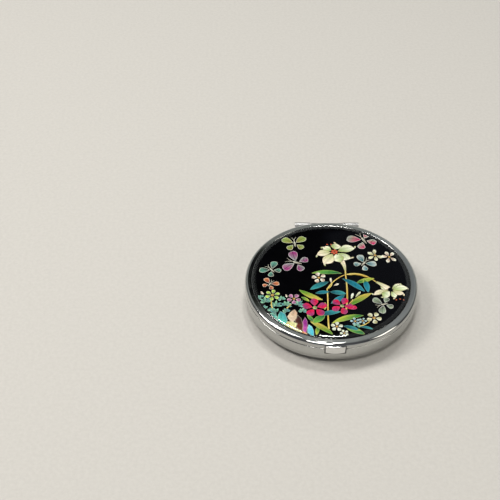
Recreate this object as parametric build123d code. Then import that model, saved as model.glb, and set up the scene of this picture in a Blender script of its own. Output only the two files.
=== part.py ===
from build123d import *
import os
from math import cos, hypot, radians, sin

# Round clamshell powder compact, closed, in millimetres.
# Origin: centre of the underside of the base. +Z up, +Y towards the hinge, +X right, push button at -Y.

# Case
BODY_R = 35.0            # outside radius of both shells
BODY_H = 12.0            # closed height, to the crown of the clear cover
SHEET = 0.6              # sheet thickness of both shells
EDGE_R = 0.2             # rounding of the two rims where they meet
BASE_RIM_Z = 8.65        # top edge of the base shell, 0.25 below the lid
LID_RIM_Z = 8.9          # lower edge of the lid shell
BASE_CORNER_R = 4.5      # outside corner between the underside and the wall

# Lid
SHOULDER_R = 1.4         # rounded shoulder of the lid
SHOULDER_Z = 9.85        # where the shoulder starts above the straight wall
LIP_Z = 11.4             # inner edge of the polished lip round the panel
LIP_SLOPE = 6            # degrees that the lip falls away outwards
LIP_ROUND = 0.2
RECESS_R = 32.05         # recess for the lacquer panel
RECESS_Z = 10.3          # floor of the recess
LID_UNDER_Z = 9.9        # underside of the lid sheet
PANEL_R = 32.0           # lacquer panel and clear cover
PANEL_TOP_Z = 11.0
COVER_LOW_Z = 11.03      # underside of the clear cover, above a thin film of adhesive
COVER_EDGE_Z = 11.13     # top of the clear cover's straight edge
COVER_CROWN_R = 29.4     # radius at which the cover's rounded edge meets its crown
COVER_CROWN_Z = 11.75
INLAY_T = 0.15           # thickness of each piece of shell inlay
INLAY_FIELD_R = 31.2     # no inlay lies further out than this
JOINT_LINE = 0.1         # lacquer line left between neighbouring pieces of inlay

# Mirror
MIRROR_R = 29.0
MIRROR_T = 0.9
MIRROR_GLUE_R = 27.0
MIRROR_GLUE_T = 0.1
BEZEL_IN_R = 29.05
BEZEL_OUT_R = 33.1
BEZEL_LIP_R = 28.4       # inner edge of the flange that holds the mirror
BEZEL_LOW_Z = 8.7
BEZEL_CHAMFER = 0.5

# Tray, pan, powder and puff
DECK_R = 34.35
DECK_Z = 8.2             # top of the tray's deck
DECK_T = 0.6
WELL_R = 26.6            # inside radius of the well that holds the pan
WELL_T = 0.6
REGISTER_IN_R = 33.5     # raised lip that the lid closes over
REGISTER_OUT_R = 34.1
REGISTER_Z = 9.55
REGISTER_BACK_Y = 27.6   # the raised lip stops here, clear of the hinge
PAN_R = 26.4
PAN_T = 0.4
PAN_TOP_Z = 4.9
PAN_GLUE_R = 20.0
PAN_GLUE_T = 0.1
POWDER_TOP_Z = 4.5
POWDER_GROOVE_R = 24.4   # pressed ring near the edge of the powder
POWDER_GROOVE_W = 0.7
POWDER_GROOVE_D = 0.3
PUFF_R = 22.5
PUFF_LOW_Z = 4.75
PUFF_TOP_Z = 8.15
PUFF_ROUND = 1.3
RIBBON_W = 10.2
RIBBON_L = 38.0
RIBBON_T = 0.12
RIBBON_GAP = 0.03        # between the puff and the ribbon

# Hinge
HINGE_Y = 35.1
HINGE_Z = 8.85
LID_KNUCKLE_R = 1.3
BASE_KNUCKLE_R = 1.15
PIN_R = 0.57
PIN_BORE_R = 0.6
BASE_KNUCKLE_X = 6.9     # half width of the centre knuckle
LID_KNUCKLE_X = (7.1, 13.6)
HINGE_WINDOW_X = 13.9    # half width of the room left inside for the hinge
HINGE_WINDOW_DEG = 23.8  # half angle of the opening in both shells
HINGE_SWEEP_R = 1.45     # room round the barrels
LEAF_T = 0.6
BASE_LEAF_LOW_Z = 4.6
BASE_WINDOW_Z = 7.3
LID_LEAF_Y = (30.8, 33.4)
LID_LEAF_LOW_Z = 9.3
HINGE_BAY_Y = (30.4, 33.0)   # room in the tray for the lid's leaf and for the base's

# Latch
BUTTON_X = 3.9           # half width of the push button
BUTTON_GAP = 0.28
BUTTON_Z = (6.5, 10.2)
BUTTON_FACE_Y = -35.4    # the middle of the button's face stands 0.4 proud of the wall
BUTTON_CURVE_R = 14.0    # radius of its convex face
BUTTON_BACK_Y = -34.2
BUTTON_ROUND = 0.35
NOTCH_DEPTH = 1.75       # room for the button in the lid's rim
BUTTON_TRAVEL = 0.8
SLIDE_X = (2.9, 3.7)     # inner and outer faces of the slider's arms
SLIDE_Z = (7.2, 8.0)
CATCH_Y = (-32.4, -31.2)
HOOK_X = 2.4
HOOK_Y = (-33.3, -32.7)
HOOK_TIP_Y = -32.0
HOOK_Z = (6.4, 7.0)      # underside and top of the hook's tooth
HOOK_FOOT_Y = -31.2
HOOK_FOOT_T = 0.4
HOOK_LEAD_IN = 0.35      # chamfer that pushes the catch bar back as the lid closes
GUIDE_X = (3.75, 4.35)
GUIDE_Y = (BUTTON_BACK_Y + BUTTON_TRAVEL + 0.1, -28.6)
GUIDE_Z = (5.4, 6.0, 8.2)
GUIDE_BACK_T = 0.6
GUIDE_LEG_Y = -30.4      # the legs stand inside the base's rounded corner
LATCH_COVER_Y = -31.85
LATCH_COVER_T = 0.3
SPRING_R = 0.52          # mean radius of the latch spring's coil
SPRING_WIRE_R = 0.12
SPRING_Z = 7.55
SPRING_TURNS = 4
SPRING_GAP = 0.02        # left at each end of the coil

# Values worked out from the ones above
WALL_IN_R = BODY_R - SHEET
GLUE_Z = LID_UNDER_Z - MIRROR_GLUE_T
MIRROR_LOW_Z = GLUE_Z - MIRROR_T
PAN_LOW_Z = SHEET + PAN_GLUE_T
INLAY_Z = PANEL_TOP_Z - INLAY_T
WINDOW_X = BUTTON_X + BUTTON_GAP


def block(x0, x1, y0, y1, z0, z1):
    """Rectangular block between two corners."""
    return Pos((x0 + x1) / 2, (y0 + y1) / 2, (z0 + z1) / 2) * Box(x1 - x0, y1 - y0, z1 - z0)


def turned(*edges):
    """Solid of revolution about Z of a closed outline drawn in radius and height."""
    return revolve(Plane.XZ * make_face(Curve() + list(edges)), Axis.Z)


def ring(r0, r1, z0, z1):
    """Plain ring, or a disc when r0 is 0."""
    solid = Pos(0, 0, z0) * Cylinder(r1, z1 - z0, align=(Align.CENTER, Align.CENTER, Align.MIN))
    if r0 > 0:
        solid -= Pos(0, 0, z0) * Cylinder(r0, z1 - z0, align=(Align.CENTER, Align.CENTER, Align.MIN))
    return solid


def back_wedge(half_angle, z0, z1):
    """Wedge from the middle out over the back, with both sides pointing at the middle."""
    reach = BODY_R + 10
    x, y = reach * sin(radians(half_angle)), reach * cos(radians(half_angle))
    slice_face = make_face(Polyline((0, 0), (x, y), (-x, y), close=True))
    return extrude(Pos(0, 0, z0) * slice_face, z1 - z0, dir=(0, 0, 1))


def barrel(radius, x0, x1):
    """Cylinder on the hinge axis between two places along X."""
    return Pos((x0 + x1) / 2, HINGE_Y, HINGE_Z) * Rot(0, 90, 0) * Cylinder(radius, x1 - x0)


# ---------------------------------------------------------------- base

def base_shell():
    """Pressed steel dish with windows for the push button and the hinge."""
    corner = BODY_R - BASE_CORNER_R
    shell = turned(
        Line((0, 0), (corner, 0)),
        CenterArc((corner, BASE_CORNER_R), BASE_CORNER_R, 270, 90),
        Line((BODY_R, BASE_CORNER_R), (BODY_R, BASE_RIM_Z - EDGE_R)),
        CenterArc((BODY_R - EDGE_R, BASE_RIM_Z - EDGE_R), EDGE_R, 0, 90),
        Line((BODY_R - EDGE_R, BASE_RIM_Z), (WALL_IN_R, BASE_RIM_Z)),
        Line((WALL_IN_R, BASE_RIM_Z), (WALL_IN_R, BASE_CORNER_R)),
        CenterArc((corner, BASE_CORNER_R), BASE_CORNER_R - SHEET, 0, -90),
        Line((corner, SHEET), (0, SHEET)),
        Line((0, SHEET), (0, 0)),
    )
    window_low = BUTTON_Z[0] - BUTTON_GAP
    button_window = block(-WINDOW_X, WINDOW_X, -BODY_R - 1, -BODY_R + 2, window_low, BASE_RIM_Z + 1)
    return shell - button_window - back_wedge(HINGE_WINDOW_DEG, BASE_WINDOW_Z, BASE_RIM_Z + 1)


def inner_tray():
    """Deck with the well for the pan, and the raised lip that the lid closes over."""
    deck = ring(WELL_R, DECK_R, DECK_Z - DECK_T, DECK_Z)
    well = ring(WELL_R, WELL_R + WELL_T, SHEET, DECK_Z)
    register = ring(REGISTER_IN_R, REGISTER_OUT_R, DECK_Z - DECK_T, REGISTER_Z)
    register -= block(-BODY_R, BODY_R, REGISTER_BACK_Y, BODY_R, DECK_Z, BODY_H)
    rim = deck + well + register
    rim = fillet(rim.edges().filter_by(GeomType.CIRCLE).filter_by(
        lambda e: abs(e.radius - WELL_R) < 0.01 and e.center().Z > DECK_Z - 0.1), DECK_T / 2)
    half = GUIDE_X[1] + 0.1
    latch_bay = block(-half, half, -BODY_R, GUIDE_Y[1] + 0.1, GUIDE_Z[0] - 0.2, BODY_H)
    bay_x = HINGE_WINDOW_X + 0.3
    hinge_bay = block(-bay_x, bay_x, HINGE_BAY_Y[1], BODY_R, 0, BODY_H)
    hinge_bay += block(-bay_x, bay_x, HINGE_BAY_Y[0], BODY_R, BASE_WINDOW_Z, BODY_H)
    return rim - latch_bay - hinge_bay


def powder_pan():
    """Shallow aluminium pan."""
    return ring(0, PAN_R, PAN_LOW_Z, PAN_TOP_Z) - ring(0, PAN_R - PAN_T, PAN_LOW_Z + PAN_T, PAN_TOP_Z)


def pressed_powder():
    """Pressed cake of powder with a ring groove near its edge."""
    cake = ring(0, PAN_R - PAN_T, PAN_LOW_Z + PAN_T, POWDER_TOP_Z)
    r0, r1 = POWDER_GROOVE_R - POWDER_GROOVE_W / 2, POWDER_GROOVE_R + POWDER_GROOVE_W / 2
    return cake - ring(r0, r1, POWDER_TOP_Z - POWDER_GROOVE_D, POWDER_TOP_Z)


def powder_puff():
    """Round velour puff that lies on the powder."""
    puff = ring(0, PUFF_R, PUFF_LOW_Z, PUFF_TOP_Z)
    return fillet(puff.edges(), PUFF_ROUND)


def puff_ribbon():
    """Satin ribbon across the top of the puff."""
    z0 = PUFF_TOP_Z + RIBBON_GAP
    return block(-RIBBON_L / 2, RIBBON_L / 2, -RIBBON_W / 2, RIBBON_W / 2, z0, z0 + RIBBON_T)


# ---------------------------------------------------------------- hinge

def base_hinge_leaf():
    """Leaf inside the base wall with the centre knuckle."""
    x = BASE_KNUCKLE_X
    leaf = ring(WALL_IN_R - LEAF_T, WALL_IN_R, BASE_LEAF_LOW_Z, BASE_WINDOW_Z)
    leaf &= block(-HINGE_WINDOW_X, HINGE_WINDOW_X, 28, 37, 0, BODY_H)
    neck = block(-x, x, WALL_IN_R - LEAF_T - 0.2, HINGE_Y, BASE_WINDOW_Z, HINGE_Z - 0.2)
    knuckle = neck + barrel(BASE_KNUCKLE_R, -x, x)
    return leaf + knuckle - barrel(PIN_BORE_R, -x, x)


def lid_hinge_leaf():
    """Leaf under the lid sheet with the two outer knuckles."""
    x0, x1 = LID_KNUCKLE_X
    leaf = block(-x1, x1, LID_LEAF_Y[0], LID_LEAF_Y[1], LID_LEAF_LOW_Z, LID_UNDER_Z)
    for side in (-1, 1):
        a, b = sorted((side * x0, side * x1))
        leaf += block(a, b, LID_LEAF_Y[1], HINGE_Y, HINGE_Z + 0.2, LID_UNDER_Z)
        leaf += barrel(LID_KNUCKLE_R, a, b)
    return leaf - barrel(PIN_BORE_R, -x1, x1)


def hinge_pin():
    """Steel pin through all three knuckles."""
    return barrel(PIN_R, -LID_KNUCKLE_X[1], LID_KNUCKLE_X[1])


# ---------------------------------------------------------------- latch

def push_button():
    """Rounded button that fills the notch in both rims."""
    body = Pos(0, BUTTON_FACE_Y + BUTTON_CURVE_R) * ring(0, BUTTON_CURVE_R, *BUTTON_Z)
    body &= block(-BUTTON_X, BUTTON_X, -BODY_R - 1, BUTTON_BACK_Y, *BUTTON_Z)
    front = body.edges().filter_by(lambda e: e.center().Y < BUTTON_BACK_Y - 0.1)
    return fillet(front, BUTTON_ROUND)


def latch_slider():
    """U-shaped slider: two arms behind the button and the catch bar across them."""
    x0, x1 = SLIDE_X
    slider = block(-x1, x1, CATCH_Y[0], CATCH_Y[1], *SLIDE_Z)
    for side in (-1, 1):
        a, b = sorted((side * x0, side * x1))
        slider += block(a, b, BUTTON_BACK_Y, CATCH_Y[0], *SLIDE_Z)
    return slider


def latch_guide():
    """Bracket on the base floor that carries the slider and its spring."""
    x0, x1 = GUIDE_X
    y0, y1 = GUIDE_Y
    low, shelf, top = GUIDE_Z
    guide = block(-x1, x1, y0, y1, low, shelf)
    guide += block(-x1, x1, y1 - GUIDE_BACK_T, y1, shelf, top)
    for side in (-1, 1):
        a, b = sorted((side * x0, side * x1))
        guide += block(a, b, y0, y1, shelf, top)
        guide += block(a, b, GUIDE_LEG_Y, y1, SHEET, low)
        c, d = sorted((side * (SLIDE_X[0] + 0.1), side * x0))
        guide += block(c, d, y0, y1, shelf, SLIDE_Z[0] - 0.05)
    return guide


def latch_cover():
    """Small plate that keeps the slider down."""
    x, z = GUIDE_X[1], GUIDE_Z[2]
    return block(-x, x, LATCH_COVER_Y, GUIDE_Y[1], z, z + LATCH_COVER_T)


def latch_spring():
    """Compression spring between the catch bar and the guide's back wall."""
    start = CATCH_Y[1] + SPRING_WIRE_R + SPRING_GAP
    length = GUIDE_Y[1] - GUIDE_BACK_T - SPRING_WIRE_R - SPRING_GAP - start
    centre = (0, start, SPRING_Z)
    coil = Helix(length / SPRING_TURNS, length, SPRING_R, center=centre, direction=(0, 1, 0))
    wire = Plane(origin=coil @ 0, z_dir=coil % 0) * Circle(SPRING_WIRE_R)
    return sweep(wire, path=coil)


def latch_hook():
    """Hook on the lid, whose tooth sits under the catch bar."""
    low, top = HOOK_Z
    hook = block(-HOOK_X, HOOK_X, HOOK_Y[0], HOOK_Y[1], low, LID_UNDER_Z)
    tooth = block(-HOOK_X, HOOK_X, HOOK_Y[1], HOOK_TIP_Y, low, top)
    foot = block(-HOOK_X, HOOK_X, HOOK_Y[1], HOOK_FOOT_Y, LID_UNDER_Z - HOOK_FOOT_T, LID_UNDER_Z)
    hook += tooth + foot
    lead_in = hook.edges().filter_by(Axis.X).filter_by(
        lambda e: abs(e.center().Y - HOOK_TIP_Y) < 0.01 and e.center().Z < low + 0.1)
    return chamfer(lead_in, HOOK_LEAD_IN)


# ---------------------------------------------------------------- lid

def lid_shell():
    """Steel lid: straight rim, rounded shoulder, sloping lip and the recess for the panel."""
    slope = radians(LIP_SLOPE)
    inner = RECESS_R + LIP_ROUND
    centre_r = BODY_R - SHOULDER_R
    shoulder_end = (centre_r + SHOULDER_R * sin(slope), SHOULDER_Z + SHOULDER_R * cos(slope))
    shell = turned(
        Line((WALL_IN_R, LID_RIM_Z), (BODY_R - EDGE_R, LID_RIM_Z)),
        CenterArc((BODY_R - EDGE_R, LID_RIM_Z + EDGE_R), EDGE_R, 270, 90),
        Line((BODY_R, LID_RIM_Z + EDGE_R), (BODY_R, SHOULDER_Z)),
        CenterArc((centre_r, SHOULDER_Z), SHOULDER_R, 0, 90 - LIP_SLOPE),
        Line(shoulder_end, (inner, LIP_Z)),
        CenterArc((inner, LIP_Z - LIP_ROUND), LIP_ROUND, 90, 90),
        Line((RECESS_R, LIP_Z - LIP_ROUND), (RECESS_R, RECESS_Z)),
        Line((RECESS_R, RECESS_Z), (0, RECESS_Z)),
        Line((0, RECESS_Z), (0, LID_UNDER_Z)),
        Line((0, LID_UNDER_Z), (WALL_IN_R - 0.4, LID_UNDER_Z)),
        CenterArc((WALL_IN_R - 0.4, LID_UNDER_Z - 0.4), 0.4, 90, -90),
        Line((WALL_IN_R, LID_UNDER_Z - 0.4), (WALL_IN_R, LID_RIM_Z)),
    )
    notch_y, notch_z = -BODY_R + NOTCH_DEPTH, BUTTON_Z[1] + BUTTON_GAP
    notch = block(-WINDOW_X, WINDOW_X, -BODY_R - 1, notch_y, LID_RIM_Z - 1, notch_z)
    hinge_window = back_wedge(HINGE_WINDOW_DEG, LID_RIM_Z - 1, LID_UNDER_Z)
    return shell - notch - hinge_window - barrel(HINGE_SWEEP_R, -HINGE_WINDOW_X, HINGE_WINDOW_X)


def clear_cover():
    """Crowned clear cover over the panel, with a rounded edge."""
    half = COVER_CROWN_R / 2
    slope = (BODY_H - COVER_CROWN_Z) / half
    reach = 1.2
    return turned(
        Line((0, COVER_LOW_Z), (PANEL_R, COVER_LOW_Z)),
        Line((PANEL_R, COVER_LOW_Z), (PANEL_R, COVER_EDGE_Z)),
        Bezier(
            (PANEL_R, COVER_EDGE_Z),
            (PANEL_R, COVER_EDGE_Z + 0.35),
            (COVER_CROWN_R + reach, COVER_CROWN_Z - slope * reach),
            (COVER_CROWN_R, COVER_CROWN_Z),
        ),
        Bezier((COVER_CROWN_R, COVER_CROWN_Z), (half, BODY_H), (0, BODY_H)),
        Line((0, BODY_H), (0, COVER_LOW_Z)),
    )


def mirror_bezel():
    """Ring round the mirror with a thin flange over its edge."""
    bezel = turned(
        Line((BEZEL_IN_R, LID_UNDER_Z), (BEZEL_OUT_R, LID_UNDER_Z)),
        Line((BEZEL_OUT_R, LID_UNDER_Z), (BEZEL_OUT_R, BEZEL_LOW_Z + BEZEL_CHAMFER)),
        Line((BEZEL_OUT_R, BEZEL_LOW_Z + BEZEL_CHAMFER), (BEZEL_OUT_R - BEZEL_CHAMFER, BEZEL_LOW_Z)),
        Line((BEZEL_OUT_R - BEZEL_CHAMFER, BEZEL_LOW_Z), (BEZEL_LIP_R, BEZEL_LOW_Z)),
        Line((BEZEL_LIP_R, BEZEL_LOW_Z), (BEZEL_LIP_R, MIRROR_LOW_Z - 0.02)),
        Line((BEZEL_LIP_R, MIRROR_LOW_Z - 0.02), (BEZEL_IN_R, MIRROR_LOW_Z - 0.02)),
        Line((BEZEL_IN_R, MIRROR_LOW_Z - 0.02), (BEZEL_IN_R, LID_UNDER_Z)),
    )
    hinge_bay = block(-HINGE_WINDOW_X - 0.1, HINGE_WINDOW_X + 0.1, LID_LEAF_Y[0] - 0.1, 37, 0, BODY_H)
    hook_bay = block(-HOOK_X - 0.2, HOOK_X + 0.2, -37, -31.0, 0, BODY_H)
    return bezel - hinge_bay - hook_bay


# ---------------------------------------------------------------- inlay outlines
# Every outline takes grow, which makes it larger all round: the larger one clears its neighbours.

def blade(x0, y0, x1, y1, width, bow=0.0, belly=0.3, tip=0.7, grow=0.0):
    """Leaf, petal or wing from a base point to a tip: two mirrored curves, bowed sideways by bow.
    With tip near 1 its end is round, and with tip near 0.6 it is pointed."""
    length = hypot(x1 - x0, y1 - y0)
    dx, dy = (x1 - x0) / length, (y1 - y0) / length
    x0, y0, x1, y1 = x0 - grow * dx, y0 - grow * dy, x1 + grow * dx, y1 + grow * dy
    length += 2 * grow
    half = (width + 2 * grow) * 2 / 3

    def point(along, across):
        return (x0 + along * length * dx - across * dy, y0 + along * length * dy + across * dx)

    left = Bezier((x0, y0), point(belly, bow + half), point(tip, bow + half), (x1, y1))
    right = Bezier((x1, y1), point(tip, bow - half), point(belly, bow - half), (x0, y0))
    return make_face(Curve() + [left, right])


def strip(points, w0, w1, grow=0.0):
    """Stem along a cubic curve given by four points, with its width going from w0 to w1."""
    edges = []
    for side in (1, -1):
        moved = []
        for i, (x, y) in enumerate(points):
            ax, ay = points[max(i - 1, 0)]
            bx, by = points[min(i + 1, 3)]
            run = hypot(bx - ax, by - ay)
            half = side * ((w0 + (w1 - w0) * i / 3) / 2 + grow)
            moved.append((x - half * (by - ay) / run, y + half * (bx - ax) / run))
        edges.append(moved)
    left, right = edges
    outline = [Bezier(*left), Line(left[3], right[3]), Bezier(*right[::-1]), Line(right[0], left[0])]
    return make_face(Curve() + outline)


def dot(x, y, r, grow=0.0):
    """Small round piece."""
    return Pos(x, y) * Circle(r + grow)


def crag(x, y, width, height, turn, grow=0.0):
    """Rock with uneven corners, height long in the direction of turn, in degrees."""
    corners = []
    for i, share in enumerate(CRAG):
        angle = 360 * i / len(CRAG)
        along = (height / 2 * share + grow) * cos(radians(angle))
        across = (width / 2 * share + grow) * sin(radians(angle))
        corners.append(around(*around(x, y, turn, along), turn + 90, across))
    return make_face(Polyline(*corners, close=True))


def around(x, y, angle, r):
    """Point at a distance r from x, y in the direction of angle in degrees."""
    return (x + r * cos(radians(angle)), y + r * sin(radians(angle)))


def petals(x, y, r0, r1, width, angles, tip=0.95, belly=0.45, bow=0.0):
    """Petals from r0 to r1 round a centre, one at each angle."""
    return [(blade, (*around(x, y, a, r0), *around(x, y, a, r1), width, bow, belly, tip)) for a in angles]


def blossom(x, y, r, turn=90, count=5, width=0.62):
    """Open flower of equal round petals."""
    angles = [turn + i * 360 / count for i in range(count)]
    return petals(x, y, 0.28 * r, r, width * r, angles)


def butterfly(x, y, heading, span):
    """Two pairs of wings. heading is the way its head points, in degrees."""
    wings = []
    for side in (-1, 1):
        fore = around(x, y, heading + 40 * side, 0.1 * span)
        fore_tip = around(x, y, heading + 60 * side, 0.6 * span)
        hind = around(x, y, heading + 130 * side, 0.1 * span)
        hind_tip = around(x, y, heading + 128 * side, 0.45 * span)
        wings.append((blade, (*fore, *fore_tip, 0.33 * span, -0.06 * span * side, 0.55, 0.9)))
        wings.append((blade, (*hind, *hind_tip, 0.27 * span, 0.04 * span * side, 0.6, 0.85)))
    return wings


def butterfly_body(x, y, heading, span):
    """Body and two feelers."""
    tail = around(x, y, heading, -0.2 * span)
    head = around(x, y, heading, 0.17 * span)
    body = [(blade, (*tail, *head, 0.075 * span, 0, 0.4, 0.9))]
    for side in (-1, 1):
        far = around(*head, heading + 24 * side, 0.26 * span)
        near = around(*head, heading + 8 * side, 0.1 * span)
        further = around(*head, heading + 18 * side, 0.2 * span)
        body.append((strip, ((head, near, further, far), 0.18, 0.12)))
    return body


# ---------------------------------------------------------------- inlay design

LILY = (2.2, 16.6)
DROOPING_LILY = (23.6, -5.4)
RED_FLOWERS = ((-7.2, -15.2, 4.9, 92), (3.6, -14.2, 4.4, 66))
BUTTERFLIES_PEARL = ((-13.6, 10.2, 160, 11.5), (15.0, 23.6, 118, 12.0), (20.4, -13.2, 200, 8.6))
BUTTERFLIES_BRIGHT = (
    (-14.2, 21.4, 96, 10.0), (-24.0, 5.8, 128, 8.6), (-25.0, -2.4, 62, 6.6), (13.8, 9.6, 52, 9.0),
)
ROCKS = (
    (-20.2, -21.2, 4.6, 8.4, 100), (-16.2, -19.8, 4.2, 7.6, 76), (-17.4, -24.6, 5.2, 6.2, 20),
    (-13.8, -23.6, 3.6, 9.4, 96), (-15.0, -27.8, 5.2, 4.4, 50), (-11.6, -24.8, 2.8, 9.0, 86),
    (-12.4, -29.2, 3.8, 3.6, 10), (-9.4, -27.4, 3.0, 6.8, 100), (-23.2, -20.6, 3.0, 4.8, 120),
)
CRAG = (1.0, 0.78, 0.96, 0.7, 1.0, 0.82, 0.9)     # how far out each corner of a rock stands


def lily_hearts():
    """Warm throats of the two lilies, with the open one's anthers."""
    x, y = LILY
    pieces = petals(x, y, 0.15, 1.5, 0.85, [20 + 60 * i for i in range(6)], tip=0.8)
    for angle, reach in ((104, 4.6), (122, 5.3), (142, 4.7), (84, 3.9)):
        pieces.append((dot, (*around(x, y, angle, reach), 0.32)))
    for far in ((26.9, -10.4), (28.3, -10.9), (25.4, -10.9)):
        pieces.append((dot, (*far, 0.28)))
    return pieces


def lily_petals():
    """Six petals and the tube of the open lily, and the five petals of the drooping one."""
    x, y = LILY
    pieces = []
    for angle, reach, width, bow in (
        (194, 7.6, 3.6, -0.7), (236, 8.6, 4.7, 0.4), (288, 6.4, 4.6, 0.3),
        (330, 7.8, 3.9, -0.9), (14, 9.0, 4.3, 1.0), (76, 5.0, 4.2, 0.0), (146, 5.4, 3.4, 0.3),
    ):
        tip = around(x, y, angle, reach)
        pieces.append((blade, (*around(x, y, angle, 1.5), *tip, width, bow, 0.42, 0.7)))
        pieces.append((blade, (*tip, *around(*tip, angle + 62, 1.5), 0.75, 0.2, 0.3, 0.7)))
    pieces.append((strip, (((5.0, 11.2), (5.7, 9.4), (6.0, 7.8), (6.1, 5.6)), 2.2, 0.7)))
    x, y = DROOPING_LILY
    pieces.append((strip, (((18.2, -0.9), (19.8, -2.0), (21.4, -3.0), (22.6, -4.6)), 0.9, 2.6)))
    for angle, reach, width, bow in (
        (8, 7.2, 3.1, 0.7), (338, 5.6, 2.6, -0.3), (44, 5.2, 2.2, -0.4), (236, 5.2, 3.4, -0.5),
        (202, 7.6, 2.4, -0.8), (290, 4.6, 2.4, 0.2), (152, 4.4, 1.6, 0.6),
    ):
        tip = around(x, y, angle, reach)
        pieces.append((blade, (*around(x, y, angle, 0.9), *tip, width, bow, 0.45, 0.72)))
        pieces.append((blade, (*tip, *around(*tip, angle - 66, 1.3), 0.7, -0.2, 0.3, 0.7)))
    return pieces


def red_hearts():
    """Small centres of the red flowers."""
    return [(dot, (x, y, 0.17 * r)) for x, y, r, _ in RED_FLOWERS]


def red_petals():
    """Two red flowers and a bud."""
    pieces = []
    for x, y, r, turn in RED_FLOWERS:
        angles = [turn + 72 * i for i in range(5)]
        pieces += petals(x, y, 0.2 * r, 1.04 * r, 0.63 * r, angles, tip=0.8, belly=0.5)
    pieces.append((blade, (6.9, -16.0, 9.2, -14.6, 2.0, 0, 0.45, 1.0)))
    return pieces


def pale_blossoms():
    """Small white and cream flowers and buds."""
    pieces = blossom(-4.9, 1.5, 2.9, 100) + blossom(15.7, -20.6, 3.0, 60) + blossom(0.9, -25.2, 2.4, 84)
    pieces += petals(19.0, 14.6, 0.7, 3.4, 1.5, (92, 150, 214, 276, 335), tip=0.8)
    pieces += petals(24.8, 13.6, 0.7, 3.5, 1.5, (52, 112, 172, 252, 320), tip=0.8)
    pieces += blossom(3.6, -28.6, 1.7, 40)
    for x0, y0, x1, y1, w in (
        (0.0, -1.6, -0.2, 1.4, 0.8), (0.9, -3.0, 3.0, -1.9, 1.0), (7.4, -10.4, 8.4, -7.2, 1.0),
        (9.2, -9.4, 11.4, -6.4, 0.9), (-28.6, -6.2, -27.6, -8.0, 0.9), (-18.6, -7.8, -18.2, -9.6, 0.7),
    ):
        pieces.append((blade, (x0, y0, x1, y1, w, 0, 0.5, 0.9)))
    return pieces


def bright_blossoms():
    """Lime, mauve and sky-coloured flowers."""
    pieces = blossom(-23.9, -8.4, 3.0, 80, 6, 0.5) + blossom(-15.4, -10.4, 2.8, 54)
    pieces += blossom(8.2, -22.4, 1.9, 30, 5, 0.5) + blossom(11.2, -22.2, 1.6, 70, 5, 0.5)
    return pieces


def blossom_hearts():
    """Round centres of the small flowers."""
    centres = (
        (-4.9, 1.5, 0.55), (15.7, -20.6, 0.6), (0.9, -25.2, 0.5), (19.0, 14.6, 0.5),
        (24.8, 13.6, 0.5), (-23.9, -8.4, 0.6), (-15.4, -10.4, 0.55), (8.2, -22.4, 0.38),
        (11.2, -22.2, 0.34), (3.6, -28.6, 0.34),
    )
    return [(dot, centre) for centre in centres]


def wings(insects):
    """Wings of a group of butterflies."""
    return [piece for insect in insects for piece in butterfly(*insect)]


def butterfly_bodies():
    """Bodies and feelers of every butterfly."""
    insects = BUTTERFLIES_PEARL + BUTTERFLIES_BRIGHT
    return [piece for insect in insects for piece in butterfly_body(*insect)]


def teal_leaves():
    """Blue-green leaves."""
    return [(blade, leaf) for leaf in (
        (-1.0, -0.9, -8.8, -5.3, 2.5, -0.4), (4.6, 0.9, 13.2, -6.4, 2.6, 0.8),
        (13.4, 0.9, 14.5, -6.8, 2.3, 0.3), (-1.0, -6.5, -6.8, -7.3, 1.8, -0.2),
        (-0.8, -6.6, 5.7, -7.6, 2.3, 0.3), (4.9, -8.2, -0.8, -13.0, 2.4, 0.2),
        (-5.4, -19.2, 2.9, -17.4, 2.4, 0.6), (3.4, -24.9, 9.6, -27.2, 1.8, 0.4),
        (9.8, -25.2, 15.0, -26.6, 1.2, 0.4),
    )]


def green_leaves():
    """Green and yellow-green leaves."""
    return [(blade, leaf) for leaf in (
        (4.6, 3.9, -7.8, 4.0, 2.2, -1.0), (10.0, -1.6, 17.6, 1.2, 2.1, 0.3),
        (-3.8, -11.0, -13.2, -5.4, 2.4, 0.7), (6.9, -14.0, 16.0, -7.2, 2.6, 0.8),
        (-1.0, -23.6, 11.8, -19.4, 2.5, 1.3), (-8.2, -23.4, -3.4, -19.4, 2.9, 0.3),
        (-9.4, -22.6, -0.8, -29.3, 2.4, 0.6), (4.6, -26.0, 11.6, -29.2, 2.5, 0.4),
        (-10.4, -18.6, -7.8, -22.8, 1.6, -0.2), (-12.4, -9.4, -9.2, -11.8, 1.4, 0.2),
        (-3.1, -12.2, -3.4, -16.4, 1.4, 0.1), (-7.2, -29.6, -6.2, -24.8, 1.5, 0.1),
    )]


def stems():
    """Gold stems."""
    return [(strip, stem) for stem in (
        (((6.1, 5.6), (5.9, 0.0), (6.9, -8.0), (4.6, -18.6)), 0.45, 0.7),
        (((-2.2, -26.4), (-2.6, -19.0), (-1.6, -12.0), (-1.9, -4.6)), 0.58, 0.45),
        (((-1.9, -5.0), (2.4, 3.4), (10.8, 8.0), (18.0, -0.8)), 0.45, 0.42),
        (((0.2, -2.0), (0.0, -3.2), (-0.8, -4.2), (-1.6, -4.8)), 0.4, 0.4),
        (((-7.0, -20.4), (-7.2, -21.4), (-7.7, -22.4), (-8.4, -23.4)), 0.4, 0.5),
        (((8.2, -10.6), (7.8, -11.4), (7.2, -12.2), (6.6, -13.0)), 0.35, 0.4),
        (((13.8, -22.6), (12.8, -23.6), (11.4, -24.6), (9.8, -25.0)), 0.35, 0.45),
        (((-24.4, -11.6), (-24.5, -13.0), (-24.4, -14.4), (-24.0, -15.6)), 0.35, 0.5),
        (((-16.6, -13.4), (-17.2, -14.2), (-17.8, -15.0), (-18.4, -15.6)), 0.35, 0.5),
    )]


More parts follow.
